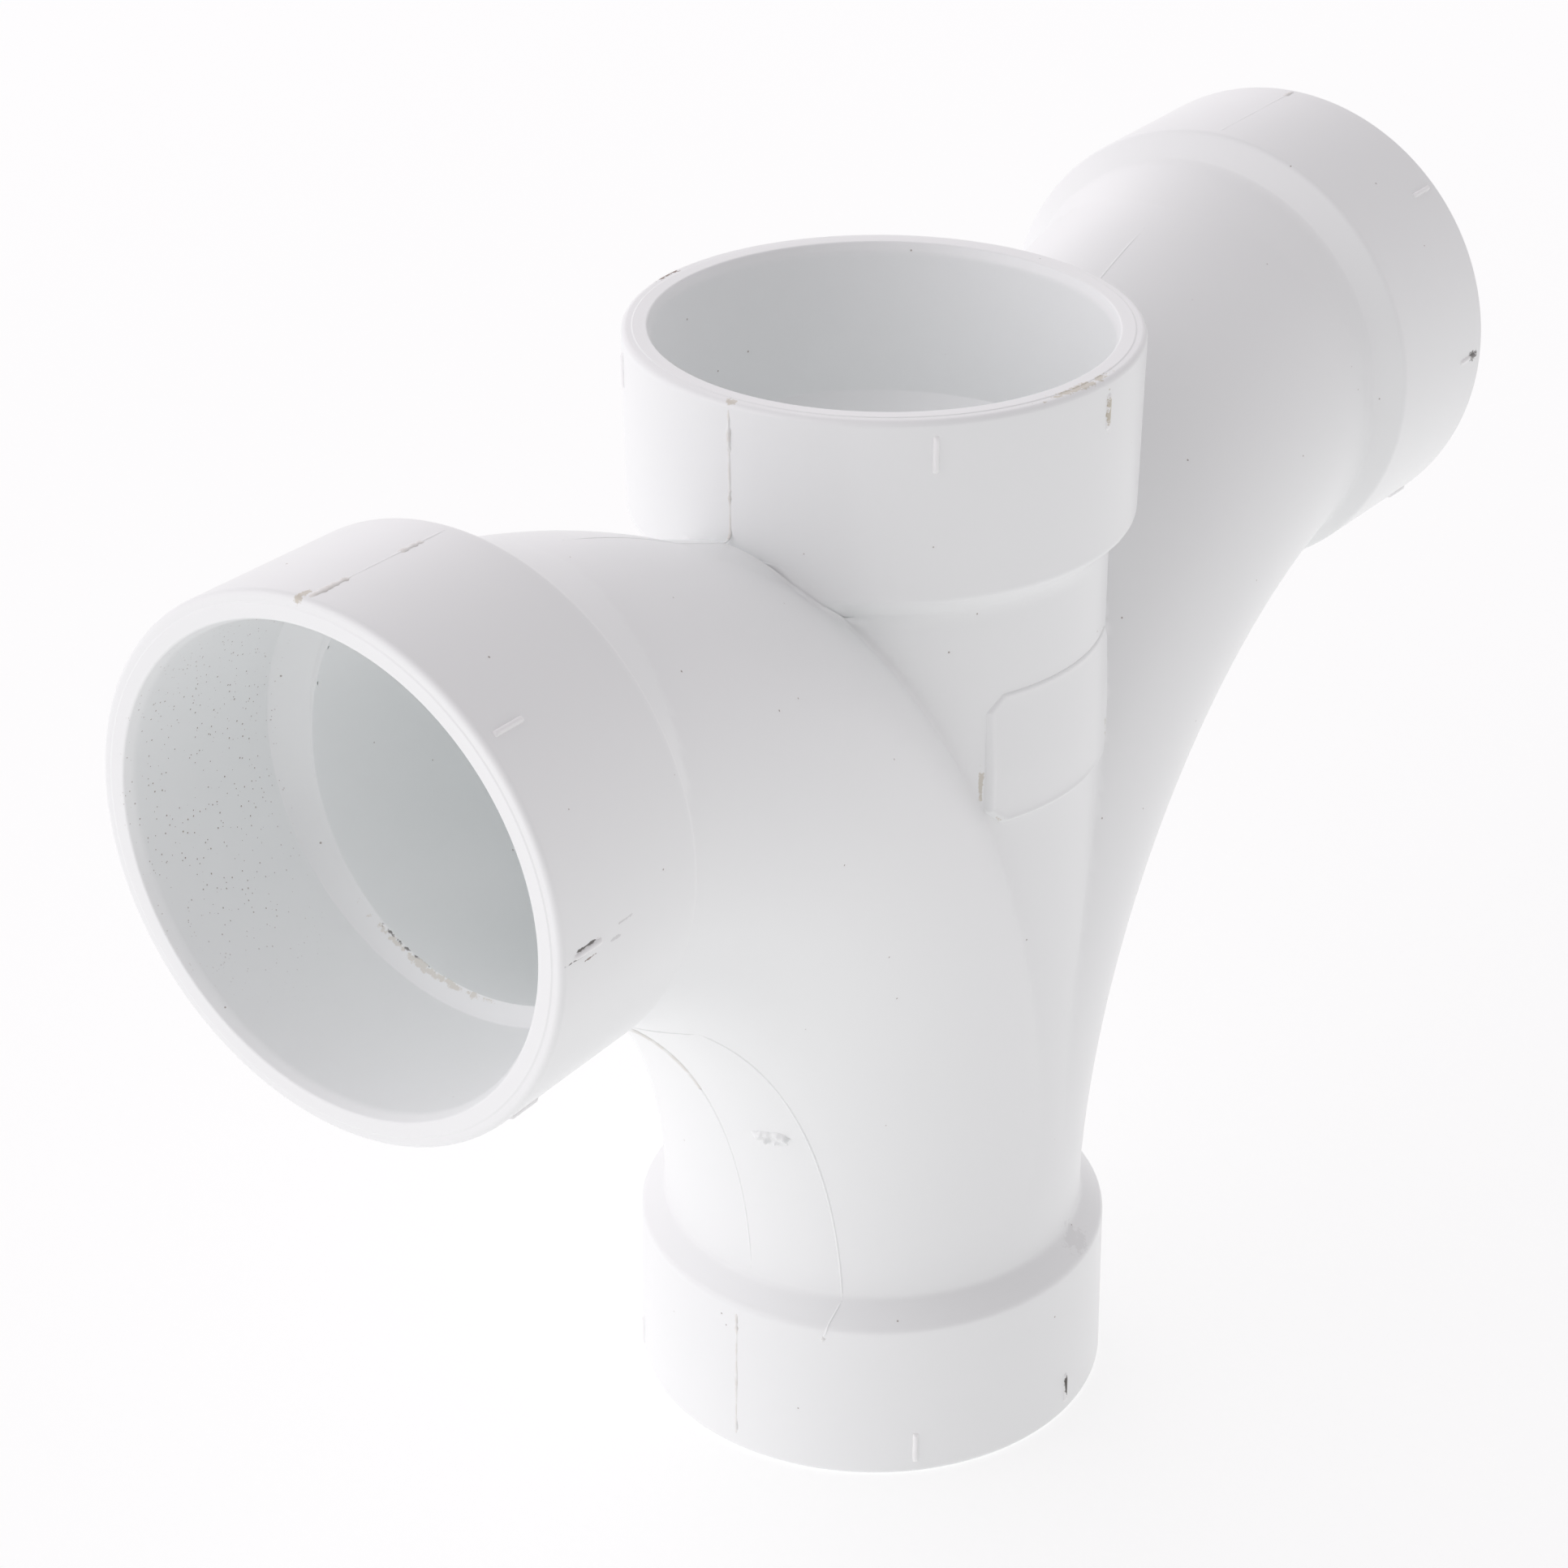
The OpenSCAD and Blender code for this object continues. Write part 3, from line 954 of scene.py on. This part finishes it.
class Nodes:
    """Short names for building a material's node tree."""

    def __init__(self, tree):
        self.tree = tree

    def add(self, kind, **settings):
        node = self.tree.nodes.new(kind)
        for name, value in settings.items():
            setattr(node, name, value)
        return node

    def put(self, socket, value):
        if isinstance(value, bpy.types.NodeSocket):
            self.tree.links.new(value, socket)
        else:
            socket.default_value = value

    def math(self, operation, *values, clamp=False):
        node = self.add("ShaderNodeMath", operation=operation, use_clamp=clamp)
        for socket, value in zip(node.inputs, values):
            self.put(socket, value)
        return node.outputs[0]

    def vector(self, operation, *values):
        node = self.add("ShaderNodeVectorMath", operation=operation)
        for socket, value in zip(node.inputs, values):
            self.put(socket, value)
        return node.outputs["Value" if operation in ("LENGTH", "DOT_PRODUCT") else "Vector"]

    def join(self, *values):
        node = self.add("ShaderNodeCombineXYZ")
        for socket, value in zip(node.inputs, values):
            self.put(socket, value)
        return node.outputs[0]

    def noise(self, place, scale, detail=2.0, roughness=0.5):
        node = self.add("ShaderNodeTexNoise")
        for name, value in (("Vector", place), ("Scale", scale), ("Detail", detail), ("Roughness", roughness)):
            self.put(node.inputs[name], value)
        return node.outputs["Fac"]

    def spots(self, place, scale):
        node = self.add("ShaderNodeTexVoronoi")
        self.put(node.inputs["Vector"], place)
        self.put(node.inputs["Scale"], scale)
        return node.outputs["Distance"], node.outputs["Color"]

    def ramp(self, value, low, high, to_low=0.0, to_high=1.0):
        node = self.add("ShaderNodeMapRange", interpolation_type="SMOOTHSTEP")
        for socket, v in zip(node.inputs, (value, low, high, to_low, to_high)):
            self.put(socket, v)
        return node.outputs[0]

    def mix(self, share, a, b):
        node = self.add("ShaderNodeMix", data_type="RGBA")
        for socket, value in ((node.inputs[0], share), (node.inputs[6], a), (node.inputs[7], b)):
            self.put(socket, value)
        return node.outputs[2]


# The plastic's duller and brighter tones
PLASTIC_TONES = ((0.928, 0.941, 0.941, 1), (0.943, 0.955, 0.953, 1))
# Lighter tones for the ticks: a painted highlight for the light they catch.
HIGHLIGHT_TONES = ((0.98, 0.98, 0.98, 1), (0.99, 0.99, 0.99, 1))

# Dirt
DARK = (0.05, 0.04, 0.03, 1)
BROWN = (0.16, 0.08, 0.04, 1)
BEIGE = (0.62, 0.57, 0.47, 1)
TAN = (0.72, 0.67, 0.61, 1)
GREY = (0.72, 0.72, 0.72, 1)

# Dirt and scuffs: (hub, angle, radius, depth, (reach round the hub, across its wall, in depth), colour,
# strength, size of the break-up)
STAINS = [
    ("top", 93, 49.8, 0.4, (7.0, 1.3, 1.6), BROWN, 1.0, 1.2),
    ("top", 262, 48.8, 0.0, (13.0, 1.6, 1.0), BEIGE, 0.8, 1.5),
    ("top", 180, 49.5, 0.2, (2.0, 1.5, 1.0), BEIGE, 0.7, 1.2),
    ("top", 270, HUB_R, 6.5, (1.2, 2.0, 5.5), BEIGE, 0.9, 1.0),
    ("top", 244, 46.0, 87.6, (2.0, 1.5, 2.0), BEIGE, 0.8, 1.2),
    ("top", 240, 45.0, 79.0, (0.9, 1.5, 5.0), BEIGE, 0.7, 1.2),
    ("top", 296.5, 45.0, 85.5, (0.9, 2.0, 6.0), BEIGE, 0.8, 1.2),
    ("bottom", 270, HUB_R, 7.0, (0.7, 2.0, 4.4), DARK, 0.95, 2.0),
    ("bottom", 280, 47.0, 39.0, (6.0, 5.0, 6.0), GREY, 0.35, 1.4),
    ("left", 163, 41.8, 37.5, (22.0, 1.2, 1.2), BEIGE, 0.5, 1.8),
    ("left", 156, 41.3, 38.0, (14.0, 0.7, 0.7), DARK, 0.8, 2.0),
    ("left", 269.5, HUB_R, 4.5, (0.3, 2.0, 5.0), DARK, 0.9, 1.6),
    ("left", 271, HUB_R, 6.5, (0.4, 2.0, 4.5), DARK, 0.9, 1.6),
    ("left", 268, HUB_R, 7.0, (0.3, 2.0, 2.5), BROWN, 0.8, 1.2),
    ("left", 268.5, HUB_R, 14.0, (0.5, 2.0, 3.0), GREY, 0.8, 1.5),
    ("left", 271, HUB_R, 16.0, (0.5, 2.0, 3.0), GREY, 0.8, 1.5),
    ("left", 2, 50.0, 1.5, (1.4, 2.2, 3.0), BEIGE, 0.8, 1.2),
    ("right", 270, HUB_R, 5.0, (1.8, 2.0, 2.6), DARK, 0.8, 1.0),
]

# Walls peppered with fine specks: (hub, angle, radius, depth, reach as above)
PEPPERED = [
    ("left", 85, 44.5, 17.0, (58.0, 3.0, 28.0)),
]

# Stray specks and pepper: cells per mm, the share of cells that hold a speck, and the pepper's largest radius
SPECK_SCALE = 0.22
SPECK_SHARE = 0.12
PEPPER_SCALE = 1.5
PEPPER_SIZE = 0.24


def spot_distance(n, place, name, angle, radius, depth, reach):
    """How far the surface is from a spot on a hub, in units of the spot's reach."""
    hub = HUBS[name]
    out = hub.outward(math.radians(angle))
    aside = hub.outward(math.radians(angle + 90))
    q = n.vector("SUBTRACT", place, tuple(hub.mouth))
    x, y, z = (n.vector("DOT_PRODUCT", q, tuple(v)) for v in (out, aside, hub.inward))
    arc = n.math("MULTIPLY", n.math("ARCTAN2", y, x), radius / reach[0])
    across = n.math("SQRT", n.math("MULTIPLY_ADD", x, x, n.math("MULTIPLY", y, y)))
    across = n.math("MULTIPLY_ADD", across, 1 / reach[1], -radius / reach[1])
    along = n.math("MULTIPLY_ADD", z, 1 / reach[2], -depth / reach[2])
    return n.vector("LENGTH", n.join(arc, across, along))


def pvc(name, soiled=0.0, painted_highlight=False):
    """Bright white rigid PVC as it comes from the mould: satin gloss, faint waviness, stray dark specks."""
    material = bpy.data.materials.new(name)
    material.use_nodes = True
    tree = material.node_tree
    tree.nodes.clear()
    n = Nodes(tree)
    place = n.vector("SCALE", n.add("ShaderNodeTexCoord").outputs["Object"])
    place.node.inputs["Scale"].default_value = 1 / MM

    # For the ticks the tones are lighter: a painted highlight in their colour.
    dull, bright = HIGHLIGHT_TONES if painted_highlight else PLASTIC_TONES
    colour = n.mix(n.ramp(n.noise(place, 0.012, 2.0), 0.2, 0.8), dull, bright)
    if soiled:
        worn = n.ramp(n.noise(place, 0.2, 3.0, 0.6), 0.35, 0.6, 0.2 * soiled, soiled)
        colour = n.mix(worn, colour, TAN)

    distance, random = n.spots(place, SPECK_SCALE)
    rare = n.math("GREATER_THAN", n.math("FRACT", n.vector("LENGTH", random)), 1 - SPECK_SHARE)
    speck = n.math("MULTIPLY", n.ramp(distance, 0.03, 0.06, 1.0, 0.0), rare)
    colour = n.mix(n.math("MULTIPLY", speck, 0.6), colour, BROWN)

    distance, random = n.spots(place, PEPPER_SCALE)
    chance = n.math("FRACT", n.math("MULTIPLY", n.vector("LENGTH", random), 7.0))
    size = n.ramp(chance, 0.55, 1.0, 0.0, PEPPER_SIZE)
    pepper = n.math("LESS_THAN", distance, size)
    for spot in PEPPERED:
        strength = n.ramp(spot_distance(n, place, *spot), 0.3, 1.0, 0.75, 0.0)
        colour = n.mix(n.math("MULTIPLY", pepper, strength), colour, BROWN)

    for *spot, stain, strength, grain in STAINS:
        broken = n.noise(place, 1 / grain, 3.0, 0.7)
        ragged = n.math("MULTIPLY_ADD", broken, 2.2, spot_distance(n, place, *spot))
        colour = n.mix(n.ramp(ragged, 1.5, 1.8, strength, 0.0), colour, stain)

    rough = n.math("MULTIPLY_ADD", n.noise(place, 0.05, 1.0), 0.08, 0.26)
    peel = n.noise(place, 0.09, 2.0)
    grain = n.noise(place, 1.3, 3.0, 0.6)
    height = n.math("ADD", n.math("MULTIPLY", peel, 0.06), n.math("MULTIPLY", grain, 0.004))
    bump = n.add("ShaderNodeBump")
    bump.inputs["Strength"].default_value = 0.6
    bump.inputs["Distance"].default_value = MM
    n.put(bump.inputs["Height"], height)

    shader = n.add("ShaderNodeBsdfPrincipled")
    n.put(shader.inputs["Base Color"], colour)
    n.put(shader.inputs["Roughness"], rough)
    n.put(shader.inputs["Normal"], bump.outputs[0])
    shader.inputs["IOR"].default_value = 1.53
    out = n.add("ShaderNodeOutputMaterial")
    tree.links.new(shader.outputs[0], out.inputs["Surface"])
    return material


# ---- Stage, light and camera ----

def plain_material(name, colour, glow):
    """A pale studio surface that glows a little, so that shadows on it stay soft."""
    material = bpy.data.materials.new(name)
    material.use_nodes = True
    shader = material.node_tree.nodes["Principled BSDF"]
    shader.inputs["Base Color"].default_value = colour
    shader.inputs["Roughness"].default_value = 0.7
    shader.inputs["Emission Color"].default_value = (1, 1, 1, 1)
    shader.inputs["Emission Strength"].default_value = glow
    return material


FLOOR_HALF = 6.0
FLOOR_COLOUR = (0.4, 0.4, 0.4, 1)
FLOOR_GLOW = 0.65


def add_floor():
    mesh = bpy.data.meshes.new("floor")
    corners = [(x * FLOOR_HALF, y * FLOOR_HALF, 0) for x, y in ((-1, -1), (1, -1), (1, 1), (-1, 1))]
    mesh.from_pydata(corners, [], [(0, 1, 2, 3)])
    mesh.materials.append(plain_material("pale_floor", FLOOR_COLOUR, FLOOR_GLOW))
    floor = bpy.data.objects.new("floor", mesh)
    floor.location.z = cad_low.z
    bpy.context.scene.collection.objects.link(floor)


# The studio: soft bright panels (direction, how fast one fades away from its middle, strength)
PANELS = [
    ((-0.75, 0.65, 0.1), 4.0, 1.2),
    ((-0.8, 0.35, 0.5), 5.0, 0.65),
    ((0.75, -0.65, 0.1), 4.0, 0.95),
    ((-0.5, -0.4, 0.75), 4.0, 0.3),
    ((0.6, 0.7, 0.3), 4.0, 1.25),
    ((0.0, 0.0, 1.0), 3.0, 0.2),
]


STUDIO_TINT = (1.02, 0.985, 1.015, 1)


def add_world():
    """Soft light from all round: each panel fades as exp(falloff * (cosine - 1)) away from its middle."""
    world = bpy.data.worlds.new("studio")
    world.use_nodes = True
    n = Nodes(world.node_tree)
    direction = n.add("ShaderNodeTexCoord").outputs["Generated"]
    total = 0.0
    for aim, falloff, strength in PANELS:
        aim = Vector(aim).normalized()
        cosine = n.vector("DOT_PRODUCT", direction, tuple(aim))
        fade = n.math("EXPONENT", n.math("MULTIPLY_ADD", cosine, falloff, -falloff))
        total = n.math("MULTIPLY_ADD", fade, strength, total)
    background = world.node_tree.nodes["Background"]
    background.inputs["Color"].default_value = STUDIO_TINT
    n.put(background.inputs["Strength"], total)
    bpy.context.scene.world = world


VIEW_AZIMUTH = -54.58
VIEW_ELEVATION = 27.99
VIEW_DISTANCE = 0.7574
AIM_RIGHT = -0.0191
AIM_UP = 0.0145
LENS = 84.17
SENSOR_WIDTH = 36


def add_camera():
    a, e = math.radians(VIEW_AZIMUTH), math.radians(VIEW_ELEVATION)
    forward = Vector((-math.sin(a) * math.cos(e), math.cos(a) * math.cos(e), -math.sin(e)))
    right = forward.cross(Vector((0, 0, 1))).normalized()
    up = right.cross(forward)
    aim = (cad_low + cad_high) / 2 + right * AIM_RIGHT + up * AIM_UP
    data = bpy.data.cameras.new("camera")
    data.lens = LENS
    data.sensor_width = SENSOR_WIDTH
    camera = bpy.data.objects.new("camera", data)
    camera.location = aim - forward * VIEW_DISTANCE
    camera.rotation_euler = forward.to_track_quat("-Z", "Y").to_euler()
    bpy.context.scene.collection.objects.link(camera)
    bpy.context.scene.camera = camera


# ---- Build ----

add_camera()
add_world()
add_floor()
bpy.context.scene.view_settings.view_transform = "Standard"
bpy.context.scene.cycles.max_bounces = 16
bpy.context.scene.cycles.diffuse_bounces = 12

plastic = pvc("white_pvc")
flash = pvc("flash_pvc", soiled=0.5)
# The ticks' plastic: lighter tones as a painted highlight.
highlight_plastic = pvc("polished_pvc", painted_highlight=True)
body = net_body()
for node, label in (("barrel", BARREL), ("left_sweep", LEFT), ("right_sweep", RIGHT)):
    region_piece(node, body, label, plastic)
for hub in HUBS.values():
    build_hub(hub, plastic)
    build_ticks(hub)
    build_parting_line(hub)
build_sweep_seam(-1, "left_sweep_seam")
build_sweep_seam(1, "right_sweep_seam")
build_pad()
build_gate()
